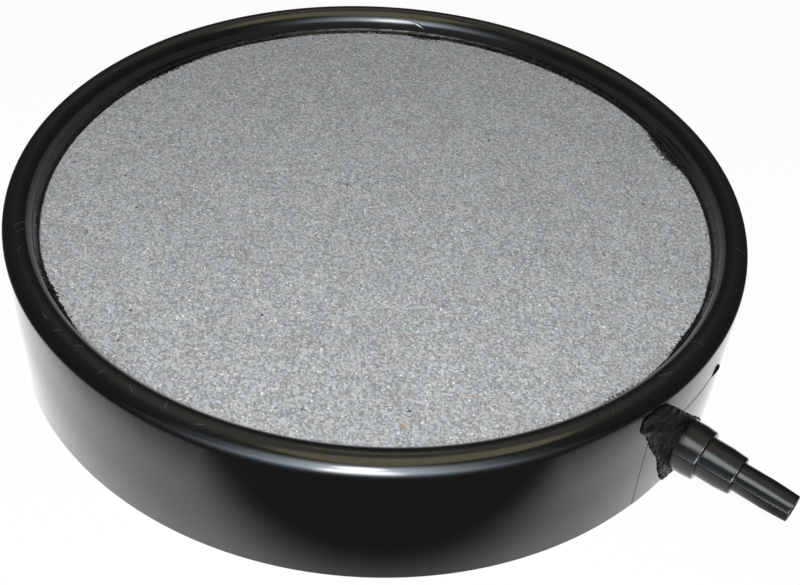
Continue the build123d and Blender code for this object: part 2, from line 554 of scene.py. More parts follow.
class MouldedSurface(SharedEffect):
    """Slow waviness and uneven gloss of a moulded or poured surface."""

    name = "moulded_surface"
    takes = {"Wave": ("NodeSocketFloat", 9.0), "Fine": ("NodeSocketFloat", 0.7)}
    gives = {"Height": "NodeSocketFloat", "Gloss": "NodeSocketFloat"}
    fine_share = 0.04
    gloss_scale = 0.12

    def wire(self, wiring: Wiring, entry: bpy.types.NodeOutputs) -> dict[str, Socket]:
        """A broad noise and a fine one added as height, and a third for the gloss.

        Args:
            wiring: Wiring of the node group.
            entry: What comes into the group.

        Returns:
            The height and the gloss.
        """

        def noise(scale: object, detail: float) -> Socket:
            """Noise over the place that comes into the group."""
            inputs = {"Vector": entry["Place"], "Scale": scale, "Detail": detail}
            return wiring.node("TexNoise", inputs).outputs[0]

        broad = noise(wiring.math("DIVIDE", 1.0, entry["Wave"]), 1.0)
        fine = noise(wiring.math("DIVIDE", 1.0, entry["Fine"]), 3.0)
        share = wiring.math("MULTIPLY", fine, self.fine_share)
        return {"Height": wiring.math("ADD", broad, share), "Gloss": noise(self.gloss_scale, 4.0)}


@dataclass(frozen=True)
class Finish:
    """Base of every finish: makes its material once."""

    name: str

    def material(self) -> bpy.types.Material:
        """The material, wired the first time it is asked for.

        Returns:
            The material.
        """
        known = bpy.data.materials.get(self.name)
        if known:
            return known
        made = bpy.data.materials.new(self.name)
        made.use_nodes = True
        self.wire(Wiring(made.node_tree), made.node_tree.nodes["Principled BSDF"].inputs)
        return made

    def wire(self, wiring: Wiring, shader: bpy.types.NodeInputs) -> None:
        """Wires the surface into the Principled shader's inputs.

        Args:
            wiring: Wiring of the material.
            shader: The shader's inputs.
        """
        raise NotImplementedError

    def raise_surface(
        self, wiring: Wiring, shader: bpy.types.NodeInputs, height: Socket, strength: float, tall: float
    ) -> None:
        """Feeds a height into the shader's normal.

        Args:
            wiring: Wiring of the material.
            shader: The shader's inputs.
            height: The height, from 0 to about 1.
            strength: Share of the relief that shows.
            tall: How much a height of 1 stands for, in millimetres.
        """
        bump = {"Height": height, "Strength": strength, "Distance": tall * MM}
        wiring.feed(wiring.node("Bump", bump).outputs[0], shader["Normal"])


@dataclass(frozen=True)
class GlossPlastic(Finish):
    """Glossy black moulded plastic with light handling marks and dust."""

    colour: Colour = (0.0045, 0.0046, 0.0042)
    worn_colour: Colour = (0.035, 0.036, 0.034)
    dust_colour: Colour = (0.15, 0.15, 0.145)
    refraction: float = 1.5
    roughness: float = 0.09
    rough_spread: float = 0.08
    recess_rough: float = 0.05
    recess_radii: tuple[float, float] = (60.5, 59.5)
    wave: float = 9.0
    fine_wave: float = 0.8
    wave_height: float = 0.03
    dust_spacing: float = 5.0
    speck: float = 0.012
    stroke_width: float = 0.13
    stroke_rough: float = 0.3
    stroke_levels: tuple[float, float] = (22.0, 22.5)
    strokes: tuple[tuple[float, float, float, float], ...] = ()
    seam_width: float = 0.3
    seam_depth: float = 0.9
    seam: tuple[tuple[float, float, float], ...] = ()

    def line(self, wiring: Wiring, place: Socket, points: Sequence[Vector], width: float) -> Socket:
        """Mask of a line strung through points.

        Args:
            wiring: Wiring of the material.
            place: Place on the object in millimetres.
            points: Where the line goes, in millimetres.
            width: Its half width.

        Returns:
            The mask's socket.
        """
        masks = []
        for start, end in zip(points, points[1:]):
            inputs = {"Place": place, "Start": start, "Step": end - start, "Width": width}
            masks.append(wiring.group(StraightMark(), inputs)["Mask"])
        return wiring.combined("MAXIMUM", masks)

    def scratches(self, wiring: Wiring, place: Socket) -> Socket:
        """Mask of the hair scratches, which lie on the rim's upper side.

        Args:
            wiring: Wiring of the material.
            place: Place on the object in millimetres.

        Returns:
            The mask's socket.
        """
        flat = wiring.flat(place)
        masks = []
        for first_angle, first_radius, last_angle, last_radius in self.strokes:
            ends = [on_ring(first_angle, first_radius, 0), on_ring(last_angle, last_radius, 0)]
            masks.append(self.line(wiring, flat, ends, self.stroke_width))
        level = wiring.node("SeparateXYZ", {"Vector": place}).outputs["Z"]
        high = wiring.between(level, *self.stroke_levels)
        return wiring.math("MULTIPLY", wiring.combined("MAXIMUM", masks), high)

    def wire(self, wiring: Wiring, shader: bpy.types.NodeInputs) -> None:
        """Gloss from slow noise, duller in the recess, with scratches, a seam and specks of dust.

        Args:
            wiring: Wiring of the material.
            shader: The shader's inputs.
        """
        place = wiring.places()
        surface_inputs = {"Place": place, "Wave": self.wave, "Fine": self.fine_wave}
        surface = wiring.group(MouldedSurface(), surface_inputs)
        dust_inputs = {"Place": place, "Spacing": self.dust_spacing, "Speck": self.speck}
        dust = wiring.group(FineDust(), dust_inputs)["Mask"]
        marks = self.scratches(wiring, place)
        colour = wiring.blend(marks, self.colour, self.worn_colour)
        wiring.feed(wiring.blend(dust, colour, self.dust_colour), shader["Base Color"])
        recess = wiring.between(wiring.measure("LENGTH", wiring.flat(place)), *self.recess_radii)
        rough = wiring.math("MULTIPLY", surface["Gloss"], self.rough_spread)
        rough = wiring.math("ADD", rough, self.roughness)
        rough = wiring.math("ADD", rough, wiring.math("MULTIPLY", recess, self.recess_rough))
        scuffs = wiring.math("MULTIPLY", marks, self.stroke_rough)
        wiring.feed(wiring.math("ADD", rough, scuffs, clamp=True), shader["Roughness"])
        height = surface["Height"]
        if self.seam:
            cut = self.line(wiring, place, [on_ring(*point) for point in self.seam], self.seam_width)
            groove = wiring.math("MULTIPLY", cut, self.seam_depth)
            height = wiring.math("SUBTRACT", height, groove)
        self.raise_surface(wiring, shader, height, 1.0, self.wave_height)
        shader["IOR"].default_value = self.refraction


@dataclass(frozen=True)
class PorousStone(Finish):
    """Fine mineral grain bonded into a porous block."""

    grain: float = 0.3
    grain_height: float = 0.12
    grain_strength: float = 0.4
    tone_height: float = 0.5
    tones: tuple[tuple[float, Colour], ...] = (
        (0.0, (0.23, 0.23, 0.235)), (0.5, (0.375, 0.38, 0.385)), (1.0, (0.55, 0.56, 0.57)),
    )
    tints: tuple[tuple[float, Colour], ...] = (
        (0.0, (0.91, 0.98, 1.0)), (0.35, (0.99, 1.0, 1.0)),
        (0.7, (1.0, 0.99, 0.97)), (1.0, (1.0, 0.97, 0.91)),
    )
    stain_size: float = 2.6
    stains: tuple[tuple[float, Colour], ...] = (
        (0.3, (0.93, 0.97, 1.0)), (0.5, (0.97, 0.985, 0.99)), (0.7, (1.0, 0.985, 0.96)),
    )
    shade_size: float = 11.0
    shades: tuple[tuple[float, Colour], ...] = ((0.35, (0.93, 0.93, 0.93)), (0.65, (1.0, 1.0, 1.0)))
    roughness: float = 0.85
    # Pale colour painted on a few grains in place of the glint of light off them.
    painted_glint: Colour = (0.78, 0.8, 0.83)
    glint_share: float = 0.012
    glint_smooth: float = 0.5
    fleck: float = 0.45
    rust: Colour = (0.35, 0.22, 0.14)
    rust_share: float = 0.0016
    rust_cover: float = 0.8
    soot: Colour = (0.05, 0.05, 0.055)
    soot_share: float = 0.0006
    soot_cover: float = 0.85
    edge_radius: float = 58.5
    smudges: tuple[tuple[float, float, float], ...] = ()
    smudge_fade: tuple[float, float] = (0.8, -0.9)
    smudge_onset: tuple[float, float] = (0.2, 0.9)
    smudge_cover: float = 0.96

    def smudge(self, wiring: Wiring, place: Socket) -> Socket:
        """How likely a grain is black with adhesive, from its place near the runs at the edge.

        Args:
            wiring: Wiring of the material.
            place: Place on the object in millimetres.

        Returns:
            The likelihood's socket.
        """
        parts = wiring.node("SeparateXYZ", {"Vector": place}).outputs
        turn = wiring.math("MULTIPLY", wiring.math("ARCTAN2", parts["Y"], parts["X"]), 180 / pi)
        radius = wiring.measure("LENGTH", wiring.flat(place))
        bells = []
        for middle, deep, half_width in self.smudges:
            off = wiring.math("WRAP", wiring.math("SUBTRACT", turn, middle), 180.0, -180.0)
            share = wiring.math("POWER", wiring.math("DIVIDE", off, half_width), 2.0)
            bell = wiring.math("EXPONENT", wiring.math("MULTIPLY", share, -1.0))
            bells.append(wiring.math("MULTIPLY", bell, deep))
        reach = wiring.combined("ADD", bells)
        inwards = wiring.math("SUBTRACT", self.edge_radius, radius)
        within = wiring.between(wiring.math("SUBTRACT", inwards, reach), *self.smudge_fade)
        return wiring.math("MULTIPLY", within, wiring.between(reach, *self.smudge_onset))

    def wire(self, wiring: Wiring, shader: bpy.types.NodeInputs) -> None:
        """Each grain has its own tone and tint, a few are rust or black or painted glints, and soft stains
        drift.

        Args:
            wiring: Wiring of the material.
            shader: The shader's inputs.
        """
        place = wiring.places()
        distance, (tone, tint, glitter) = wiring.cells(place, 1 / self.grain)
        colour = wiring.ramp(tone, self.tones)
        stain = wiring.ramp(wiring.noise(place, self.stain_size, 3.0), self.stains)
        shade = wiring.ramp(wiring.noise(place, self.shade_size, 2.0), self.shades)
        for cast in (wiring.ramp(tint, self.tints), stain, shade):
            colour = wiring.blend(1.0, colour, cast, "MULTIPLY")
        # Painted glints: a few grains take a pale colour that stands in for light glinting off them, and are
        # also smoother.
        painted_glint_grains = wiring.math("GREATER_THAN", glitter, 1 - self.glint_share)
        colour = wiring.blend(painted_glint_grains, colour, self.painted_glint)
        _, (rust_number, soot_number, _) = wiring.cells(place, 1 / self.fleck)
        for number, limit, cover, fleck_colour in (
            (rust_number, self.rust_share, self.rust_cover, self.rust),
            (soot_number, self.soot_share, self.soot_cover, self.soot),
            (tone, self.smudge(wiring, place), self.smudge_cover, self.soot),
        ):
            fleck = wiring.math("LESS_THAN", number, limit)
            colour = wiring.blend(wiring.math("MULTIPLY", fleck, cover), colour, fleck_colour)
        wiring.feed(colour, shader["Base Color"])
        smooth = wiring.math("MULTIPLY", painted_glint_grains, self.glint_smooth)
        wiring.feed(wiring.math("SUBTRACT", self.roughness, smooth), shader["Roughness"])
        hollow = wiring.math("MULTIPLY", distance, -1.0)
        height = wiring.math("ADD", hollow, wiring.math("MULTIPLY", tone, self.tone_height))
        self.raise_surface(wiring, shader, height, self.grain_strength, self.grain_height)


@dataclass(frozen=True)
class BlackAdhesive(Finish):
    """Black adhesive that set lumpy and half glossy."""

    colour: Colour = (0.003, 0.003, 0.0035)
    # Slightly lighter colour that the film's patches take, a painted sheen.
    painted_sheen_colour: Colour = (0.008, 0.008, 0.009)
    dust_colour: Colour = (0.1, 0.1, 0.1)
    dust_spacing: float = 1.6
    speck: float = 0.03
    roughness: float = 0.38
    gloss: float = 0.36
    film_size: float = 1.6
    film_range: tuple[float, float] = (0.45, 0.7)
    film_rough: float = 0.2
    lump: float = 0.8
    fine_lump: float = 0.25
    lump_strength: float = 0.7
    lump_height: float = 0.07

    def wire(self, wiring: Wiring, shader: bpy.types.NodeInputs) -> None:
        """Uneven gloss, painted sheen as lighter colour in the film's patches, small lumps and caught dust.

        Args:
            wiring: Wiring of the material.
            shader: The shader's inputs.
        """
        place = wiring.places()
        surface = wiring.group(MouldedSurface(), {"Place": place, "Wave": self.lump, "Fine": self.fine_lump})
        dust_inputs = {"Place": place, "Spacing": self.dust_spacing, "Speck": self.speck}
        dust = wiring.group(FineDust(), dust_inputs)["Mask"]
        film = wiring.between(wiring.noise(place, self.film_size, 3.0), *self.film_range)
        # Painted sheen: the film's patches take a slightly lighter colour, and are rougher as well.
        colour = wiring.blend(film, self.colour, self.painted_sheen_colour)
        wiring.feed(wiring.blend(dust, colour, self.dust_colour), shader["Base Color"])
        shader["Specular IOR Level"].default_value = self.gloss
        spread = wiring.math("MULTIPLY", film, self.film_rough)
        wiring.feed(wiring.math("ADD", spread, self.roughness), shader["Roughness"])
        self.raise_surface(wiring, shader, surface["Height"], self.lump_strength, self.lump_height)


RIM_SEAM = (
    (125.6, 61.4, 25.0), (125.0, 60.5, 24.7), (124.2, 59.7, 23.7), (122.9, 59.37, 22.9),
    (121.5, 59.25, 22.2), (120.2, 59.21, 21.7),
)
RIM_STROKES = (
    (-122.7, 61.6, -125.1, 59.4), (-121.2, 61.4, -122.4, 60.2), (-117.0, 61.6, -117.9, 60.9),
    (-102.7, 62.3, -101.4, 62.3), (-98.3, 61.9, -98.9, 62.6), (-94.5, 61.9, -93.6, 61.2),
    (-88.1, 61.9, -88.6, 62.7), (-83.7, 61.8, -82.8, 62.3), (-77.6, 62.3, -77.9, 61.3),
    (-72.9, 62.6, -71.9, 62.3), (1.0, 59.7, 1.6, 62.4), (-8.1, 61.3, -6.2, 62.0),
    (25.2, 61.2, 24.6, 63.0),
)
DISH_PLASTIC = GlossPlastic("dish_plastic", strokes=RIM_STROKES, seam=RIM_SEAM)
CONNECTOR_PLASTIC = GlossPlastic(
    "hose_connector_plastic", wave=2.5, wave_height=0.01, dust_spacing=2.5, roughness=0.17, recess_rough=0.0
)
SEAL_RUNS = (
    (58.0, 2.3, 7.0), (92.0, 0.7, 16.0), (121.0, 1.2, 4.0), (178.0, 1.1, 9.0),
    (250.0, 0.6, 6.0), (347.0, 0.8, 5.0), (5.0, 0.7, 6.0),
)
GRAIN_FINISH = PorousStone("bonded_grain", smudges=SEAL_RUNS)
SEAL_FINISH = BlackAdhesive("seal_adhesive", roughness=0.2, gloss=0.5, lump_height=0.03)
ROOT_FINISH = BlackAdhesive("root_adhesive", roughness=0.4, gloss=0.09)


@dataclass
class Dish:
    """The moulded dish: rim, drafted wall, recess, air chamber, cored groove and inlet pad.

    Angles and drafts are degrees, and pad_start and pad_end are directions round the axis from +X.
    """

    foot_radius: float
    height: float
    draft: float = 2.6
    rim_width: float = 4.62
    crown_radius: float = 61.5
    outer_drop: float = 3.0
    inner_drop: float = 3.4
    foot_chamfer: float = 0.3
    floor: float = 2.5
    ledge_level: float = 10.6
    stone_depth: float = 4.4
    recess_draft: float = 0.6
    seal_gap: float = 0.7
    ledge_reach: float = 3.5
    skirt: float = 2.4
    chamber_wall: float = 2.2
    groove_top: float = 8.4
    groove_draft: float = 1.0
    web_setback: float = 1.0
    web_count: int = 18
    web_half_angle: float = 0.75
    block_half_angle: float = 5.75
    pad_start: float = -10.75
    pad_end: float = 8.25
    pad_height: float = 15.3
    pad_step: float = 0.05
    port_height: float = 5.5
    port_radius: float = 2.85
    post_radius: float = 4.0
    rib_reach: float = 24.0
    rib_thickness: float = 1.8
    support_sink: float = 0.3
    steps: int = 720
    rim_steps: int = 16
    edge_support: float = 0.35

    def wall(self, level: Measure) -> Measure:
        """Radius of the outer wall at a level."""
        return self.foot_radius - level * tan(radians(self.draft))

    @property
    def stone_top(self) -> float:
        """Level of the stone's face."""
        return self.height - self.stone_depth

    @property
    def recess_top_radius(self) -> float:
        """Radius of the recess at the rim's top."""
        return self.wall(self.height) - self.rim_width

    def recess(self, level: float) -> float:
        """Radius of the recess wall at a level."""
        return self.recess_top_radius - (self.height - level) * tan(radians(self.recess_draft))

    @property
    def stone_radius(self) -> float:
        """Radius of the stone disc."""
        return self.recess(self.stone_top) - self.seal_gap

    @property
    def chamber_radius(self) -> float:
        """Radius of the air chamber."""
        return self.stone_radius - self.ledge_reach

    def rounding(self, wall: Callable[[float], float], drop: float, lean: float) -> list[Point]:
        """Elliptical rounding from a leaning wall up to the rim's crown.

        Args:
            wall: Radius of the wall at a level.
            drop: How far below the crown the rounding starts.
            lean: Lean of the wall in degrees.

        Returns:
            Radius and level of its points, the crown last.
        """
        level = self.height - drop
        wide = wall(level) - self.crown_radius
        start = degrees(atan2(drop * tan(radians(lean)), abs(wide)))
        wide = (wall(level + drop * sin(radians(start))) - self.crown_radius) / cos(radians(start))
        return arc((self.crown_radius, level), wide, drop, start, 90, self.rim_steps)

    def section(self) -> list[Point]:
        """Half section from the middle of the underside, out round the rim, to the chamber's floor.

        Returns:
            Radius and level of each point.
        """
        outer = self.rounding(self.wall, self.outer_drop, self.draft)
        inner = self.rounding(self.recess, self.inner_drop, self.recess_draft)
        groove_inner = self.chamber_radius + self.chamber_wall
        groove_foot = groove_inner - self.groove_top * tan(radians(self.groove_draft))
        skirt_inside = self.foot_radius - self.skirt
        above_foot = self.foot_chamfer + self.edge_support
        below_outer = outer[0][1] - self.edge_support
        below_inner = inner[0][1] - self.edge_support
        return [
            (0, 0),
            (groove_foot, 0),
            (groove_foot, self.web_setback),
            (skirt_inside, self.web_setback),
            (skirt_inside, 0),
            (self.foot_radius - self.foot_chamfer, 0),
            (self.wall(self.foot_chamfer), self.foot_chamfer),
            (self.wall(above_foot), above_foot),
            (self.wall(self.pad_height), self.pad_height),
            (self.wall(below_outer), below_outer),
            *outer,
            *inner[-2::-1],
            (self.recess(below_inner), below_inner),
            (self.recess(self.ledge_level), self.ledge_level),
            (self.chamber_radius, self.ledge_level),
            (self.chamber_radius, self.floor),
            (0, self.floor),
        ]

    def in_web(self, angle: float) -> bool:
        """Whether the groove is closed by a web or the port block at this angle."""
        pitch = 360 / self.web_count
        off = (angle % pitch) - pitch / 2
        return abs(off) < self.web_half_angle or abs(angle) < self.block_half_angle

    def turn_shell(self) -> Workpiece:
        """Spins the section, half a step off so that webs and pad end on whole steps.

        Returns:
            The closed shell, with the groove only as deep as the webs' setback.
        """
        piece = section_loop("dish", self.section(), is_open=True)
        half_step = TURN / self.steps / 2
        piece.body.data.transform(Matrix.Rotation(half_step, 4, "Z"))
        spin_section(piece, self.steps, Vector((0, 0, 1)))
        return piece

    def core_groove(self, piece: Workpiece) -> None:
        """Extrudes the pockets between the webs up to the groove's full depth and drafts them."""
        level = self.web_setback * MM

        def is_pocket(face: bmesh.types.BMFace) -> bool:
            """Whether a face closes a pocket between webs."""
            middle = face.calc_center_median()
            return abs(middle.z - level) < 0.01 * MM and not self.in_web(around(middle))

        piece.edit()
        piece.pick(Pick.FACES, is_pocket)
        depth = (self.groove_top - self.web_setback) * MM
        bpy.ops.mesh.extrude_region_move(TRANSFORM_OT_translate={"value": (0, 0, depth)})
        bpy.ops.object.mode_set(mode="OBJECT")
        inner = self.chamber_radius + self.chamber_wall
        outer = self.wall(self.groove_top) - self.skirt
        middle = (inner + outer) / 2

        def draft_pockets(places: np.ndarray) -> np.ndarray:
            """Brings the pockets' ceiling to its drafted radii."""
            radius = np.hypot(places[:, 0], places[:, 1])
            ceiling = np.abs(places[:, 2] - self.groove_top) < 0.01
            goal = np.where(radius < middle, inner, outer)
            places[ceiling, :2] *= (goal / np.maximum(radius, 1))[ceiling, None]
            return places

        piece.reshape(draft_pockets)

    def raise_pad(self, piece: Workpiece) -> None:
        """Stands the pad round the air inlet proud of the wall."""

        def on_pad(face: bmesh.types.BMFace) -> bool:
            """Whether a face of the outer wall lies in the pad."""
            middle = face.calc_center_median()
            radius = middle.to_2d().length / MM
            level = middle.z / MM
            outside = radius > self.wall(level) - 0.1
            in_band = self.foot_chamfer < level < self.pad_height
            return outside and in_band and self.pad_start < around(middle) < self.pad_end

        piece.edit()
        piece.pick(Pick.FACES, on_pad)
        push = {"value": self.pad_step * MM}
        bpy.ops.mesh.extrude_region_shrink_fatten(TRANSFORM_OT_shrink_fatten=push)
        bpy.ops.object.mode_set(mode="OBJECT")

    def support_cross(self) -> Workpiece:
        """Post with crossed ribs that carries the stone's middle.

        Returns:
            The post and ribs as one closed piece, sunk a little into the floor.
        """
        tall = self.ledge_level - self.floor + self.support_sink
        middle = self.ledge_level - tall / 2
        clear_selection()
        bpy.ops.mesh.primitive_cylinder_add(
            vertices=64, radius=self.post_radius * MM, depth=tall * MM, location=(0, 0, middle * MM)
        )
        post = Workpiece("support_post")
        for number in range(2):
            clear_selection()
            bpy.ops.mesh.primitive_cube_add(size=1, location=(0, 0, middle * MM))
            rib = Workpiece("support_rib")
            size = (2 * self.rib_reach * MM, self.rib_thickness * MM, tall * MM)
            rib.edit()
            bpy.ops.mesh.select_all(action="SELECT")
            bpy.ops.transform.resize(value=size)
            rib.pick(Pick.EDGES, lambda edge: abs(edge.verts[0].co.z - edge.verts[1].co.z) > MM)
            bpy.ops.mesh.bevel(offset=0.49 * self.rib_thickness * MM, segments=6, affect="EDGES")
            rib.close()
            rib.body.data.transform(Matrix.Rotation(pi / 4 + number * pi / 2, 4, "Z"))
            post.combine(rib, "UNION")
        post.hold()
        bpy.ops.object.transform_apply(location=True, rotation=True, scale=True)
        return post

    def drill_port(self, piece: Workpiece) -> None:
        """Cuts the hole that the connector's spigot passes through."""
        clearance = 3
        start, end = self.chamber_radius - clearance, self.foot_radius + clearance
        clear_selection()
        bpy.ops.mesh.primitive_cylinder_add(
            vertices=96, radius=self.port_radius * MM, depth=(end - start) * MM,
            location=((start + end) / 2 * MM, 0, self.port_height * MM), rotation=(0, pi / 2, 0),
        )
        drill = Workpiece("port_drill")
        piece.combine(drill, "DIFFERENCE")

    def build(self) -> bpy.types.Object:
        """Models the dish and seats it.

        Returns:
            The finished dish.
        """
        piece = self.turn_shell()
        self.core_groove(piece)
        self.raise_pad(piece)
        piece.combine(self.support_cross(), "UNION")
        self.drill_port(piece)
        piece.polish(28)
        return piece.settle(DISH_PLASTIC.material(), Slot.HOUSING, "housing")


@dataclass
class GrainDisc:
    """The porous disc: a finely broken face over a plain round block."""

    radius: float
    top: float
    thickness: float
    squares: int = 280
    edge_chamfer: float = 0.4
    grain_relief: float = 0.07
    slow_relief: float = 0.1
    seed: int = 11

    def build(self) -> bpy.types.Object:
        """Models the disc from a grid that is drawn out to a circle.

        Returns:
            The finished disc.
        """
        clear_selection()
        face_radius = self.radius - self.edge_chamfer
        bpy.ops.mesh.primitive_grid_add(
            x_subdivisions=self.squares, y_subdivisions=self.squares, size=2 * MM, location=(0, 0, 0)
        )
        piece = Workpiece("grain_disc")

        def to_circle(places: np.ndarray) -> np.ndarray:
            """Maps the square evenly onto the disc's face."""
            x, y = places[:, 0].copy(), places[:, 1].copy()
            places[:, 0] = face_radius * x * np.sqrt(1 - y * y / 2)
            places[:, 1] = face_radius * y * np.sqrt(1 - x * x / 2)
            places[:, 2] = self.top
            return places

        piece.reshape(to_circle)
        self.break_face(piece)
        self.close_block(piece)
        piece.polish(60)
        return piece.settle(GRAIN_FINISH.material(), Slot.STONE, "stone_disc")

    def break_face(self, piece: Workpiece) -> None:
        """Gives the face its grain: every vertex of the fine grid sits a little lower than the top."""
        chance = np.random.default_rng(self.seed)

        def roughen(places: np.ndarray) -> np.ndarray:
            """Lowers each vertex by its own small amount, on a slow swell."""
            swell = np.sin(places[:, 0] / 7.3 + 1) * np.sin(places[:, 1] / 9.1)
            swell += np.sin(places[:, 0] / 3.1 + places[:, 1] / 4.3)
            places[:, 2] -= self.slow_relief * (swell + 2) / 4
            places[:, 2] -= self.grain_relief * chance.random(len(places)) ** 1.5
            return places

        piece.reshape(roughen)

    def close_block(self, piece: Workpiece) -> None:
        """Extrudes the face's edge down over the chamfer and the side, and closes the underside."""
        piece.edit()
        piece.pick(Pick.EDGES, lambda edge: edge.is_boundary)
        drop = -self.edge_chamfer * MM
        widen = self.radius / (self.radius - self.edge_chamfer)
        bpy.ops.mesh.extrude_edges_move(TRANSFORM_OT_translate={"value": (0, 0, drop)})
        bpy.ops.transform.resize(value=(widen, widen, 1), center_override=(0, 0, 0))
        side = -(self.thickness - 2 * self.edge_chamfer) * MM
        bpy.ops.mesh.extrude_edges_move(TRANSFORM_OT_translate={"value": (0, 0, side)})
        bpy.ops.mesh.extrude_edges_move(TRANSFORM_OT_translate={"value": (0, 0, drop)})
        bpy.ops.transform.resize(value=(1 / widen, 1 / widen, 1), center_override=(0, 0, 0))
        bpy.ops.mesh.edge_face_add()
        piece.close()
        floor = self.top - self.thickness

        def flatten(places: np.ndarray) -> np.ndarray:
            """Takes the face's roughness out of the underside."""
            places[:, 2] = np.where(places[:, 2] < floor + 0.3, floor, places[:, 2])
            return places

        piece.reshape(flatten)


@dataclass
class EdgeSeal:
    """Adhesive between the stone and the recess wall, run unevenly over the stone's edge.

    fillet and rise are the fillet's width and height behind and in front, turning the angles from the
    back between which they change, runs the middle, reach and half width of each run, and waves the
    number and size of the ripples of the inner edge.
    """

    stone_radius: float
    stone_top: float
    wall_radius: float
    back_angle: float = 126.8
    fillet: tuple[float, float] = (0.22, 0.5)
    rise: tuple[float, float] = (0.4, 1.5)
    turning: tuple[float, float] = (50.0, 80.0)
    wall_lean: float = 0.01
    smear: float = 0.02
    least_smear: float = 0.03
    film: float = 0.09
    film_share: float = 0.45
    film_reach: float = 0.6
    sink: float = 0.15
    fray: float = 0.05
    fray_gain: float = 3.0
    frayed_share: float = 0.15
    lump_count: int = 64
    lump_height: float = 0.025
    steps: int = 1440
    seed: int = 5
    runs: tuple[tuple[float, float, float], ...] = SEAL_RUNS
    waves: tuple[tuple[int, float], ...] = (
        (17, 0.05), (29, 0.04), (47, 0.04), (83, 0.03), (131, 0.03), (211, 0.03),
    )
    wave_turn: float = 40.0

    def inner_edge(self, angle: np.ndarray) -> np.ndarray:
        """Radius of the ragged inner edge.

        Args:
            angle: Directions round the axis, in degrees.

        Returns:
            The radius in each direction.
        """
        radius = np.full(len(angle), self.stone_radius - self.smear)
        for middle, reach, half_width in self.runs:
            radius -= self.film_reach * reach * np.exp(-(apart(angle, middle) / half_width) ** 2)
        for waves, size in self.waves:
            radius += size * np.sin(np.radians((angle + self.wave_turn) * waves))
        return np.minimum(radius, self.stone_radius - self.least_smear)

    def section(self) -> list[Point]:
        """Section of the bead, its fillet drawn for a rise of 1 mm.

        Returns:
            Share of the way from the ragged edge to the wall, and level, for each point.
        """
        top = self.stone_top
        crest = top + self.film
        return [
            (0.0, top - self.sink), (0.02, top + 0.4 * self.film), (0.1, top + 0.8 * self.film),
            (0.25, crest), (self.film_share, crest), (0.55, crest + 0.12), (0.65, crest + 0.28),
            (0.75, crest + 0.46), (0.85, crest + 0.66), (0.93, crest + 0.84), (1.0, crest + 1.0),
            (1.0, top - 0.5), (0.7, top - 0.6), (0.3, top - 0.4),
        ]

    def build(self) -> bpy.types.Object:
        """Spins the bead and pulls its inner edge ragged.

        Returns:
            The finished seal.
        """
        shares = self.section()
        unit = 10.0
        points = [(self.stone_radius + unit * share, level) for share, level in shares]
        piece = section_loop("edge_seal", points, is_open=False)
        spin_section(piece, self.steps, Vector((0, 0, 1)))
        chance = np.random.default_rng(self.seed)
        phases = chance.random(self.lump_count) * TURN

        def pull(places: np.ndarray) -> np.ndarray:
            """Puts each vertex at its share of the way from the ragged edge to the wall."""
            angle = np.degrees(np.arctan2(places[:, 1], places[:, 0]))
            share = (np.hypot(places[:, 0], places[:, 1]) - self.stone_radius) / unit
            inner = self.inner_edge(angle)
            away = np.abs(apart(angle, self.back_angle))
            fillet = np.interp(away, self.turning, self.fillet)
            tall = np.interp(away, self.turning, self.rise)
            crest = self.stone_top + self.film
            places[:, 2] += np.where(places[:, 2] > crest, (places[:, 2] - crest) * (tall - 1), 0)
            wall = self.wall_radius + (places[:, 2] - self.stone_top) * self.wall_lean
            foot = wall - fillet
            on_film = inner + (foot - inner) * share / self.film_share
            on_fillet = foot + fillet * (share - self.film_share) / (1 - self.film_share)
            radius = np.where(share < self.film_share, on_film, on_fillet)
            reach = np.clip(self.stone_radius - self.smear - inner, 0, 2)
            fray = self.fray * (1 + self.fray_gain * reach)
            radius += np.where(share < self.frayed_share, fray * chance.normal(0, 1, len(places)), 0)
            turn = np.radians(angle)
            lump = np.zeros(len(places))
            for number, phase in enumerate(phases):
                wave = turn * (9 + 5 * number) + phase + 3 * share
                lump += np.sin(wave) / (3 + number) ** 0.5
            lift = self.lump_height * lump * np.clip(share * (1 - share) * 4, 0, 1)
            on_top = places[:, 2] > self.stone_top
            places[:, 2] += np.where(on_top, lift, 0)
            put_round(places, turn, radius)
            return places

        piece.reshape(pull)
        piece.polish(70)
        return piece.settle(SEAL_FINISH.material(), Slot.ADHESIVE, "stone_seal")


@dataclass
class HoseConnector:
    """Stepped hose nipple, turned about its own axis.

    Each of its parts is a step: the radius of its land, the radius at its end, the land's length,
    the step's length and the rounding of its shoulder.
    """

    axis_level: float
    seat: float
    spigot_end: float
    bore: float = 1.3
    spigot: float = 2.8
    parts: tuple[tuple[float, float, float, float, float], ...] = (
        (4.5, 4.35, 2.35, 4.05, 0.42), (3.5, 3.31, 3.2, 5.9, 0.4), (2.46, 2.26, 5.0, 9.1, 0.2),
    )
    root_support: float = 0.1
    shoulder_support: float = 0.15
    bore_chamfer: float = 0.12
    steps: int = 160

    def section(self) -> list[Point]:
        """Half section from the spigot's end to the tip, as distance along X and radius.

        Returns:
            The closed outline's corners.
        """
        points = [(self.spigot_end, self.bore), (self.spigot_end, self.spigot), (self.seat, self.spigot)]
        root = self.seat
        for land_radius, end_radius, land, length, rounding in self.parts:
            points += [(root + along, land_radius) for along in (0, self.root_support, land)]
            end = root + length
            points.append((end - rounding - self.shoulder_support, end_radius))
            points += arc((end - rounding, end_radius - rounding), rounding, rounding, 90, 0, 6)
            root = end
        points += [(root, self.bore + self.bore_chamfer), (root - self.bore_chamfer, self.bore)]
        return points

    def build(self) -> bpy.types.Object:
        """Spins the connector.

        Returns:
            The finished connector.
        """
        piece = section_loop(CONNECTOR_NAME, self.section(), is_open=False)
        spin_section(piece, self.steps, Vector((1, 0, 0)))
        piece.body.data.transform(Matrix.Translation((0, 0, self.axis_level * MM)))
        piece.polish(40)
        return piece.settle(CONNECTOR_PLASTIC.material(), Slot.CONNECTOR, "hose_connector")


